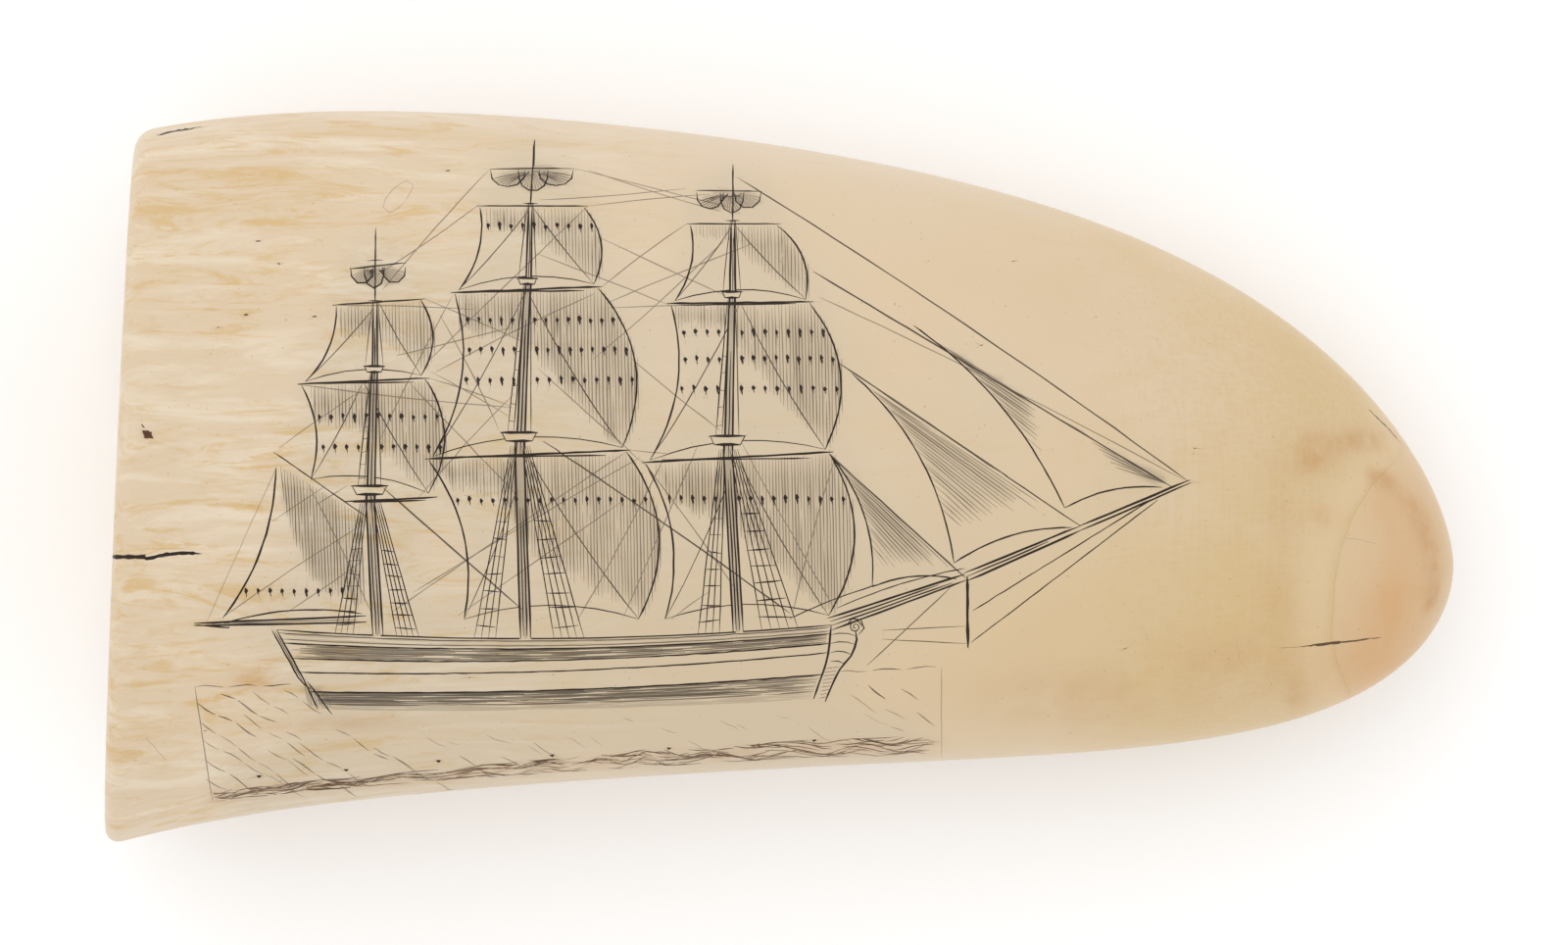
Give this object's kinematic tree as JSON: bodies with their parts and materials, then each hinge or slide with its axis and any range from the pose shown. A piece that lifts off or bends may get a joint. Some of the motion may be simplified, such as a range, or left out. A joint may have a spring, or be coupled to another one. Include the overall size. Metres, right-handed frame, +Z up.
{
  "type": "scrimshaw whale tooth",
  "caption": "Polished whale tooth with a sawn, hollow root, engraved on its broad face with a full-rigged sailing ship above a panel of sea; a decorative ornament that lies loose.",
  "frame": {"origin": "middle of the tooth's box, on the surface that the tooth lies on", "axes": "+X from the sawn root to the tip, +Y across the broad face towards the engraved ship's mastheads, +Z up out of the engraved face"},
  "size_m": [0.1528, 0.0824, 0.0483],
  "materials": {
    "ivory": "polished"
  },
  "bodies": {
    "root": {"whale_tooth": "ivory"}
  },
  "joints": []
}
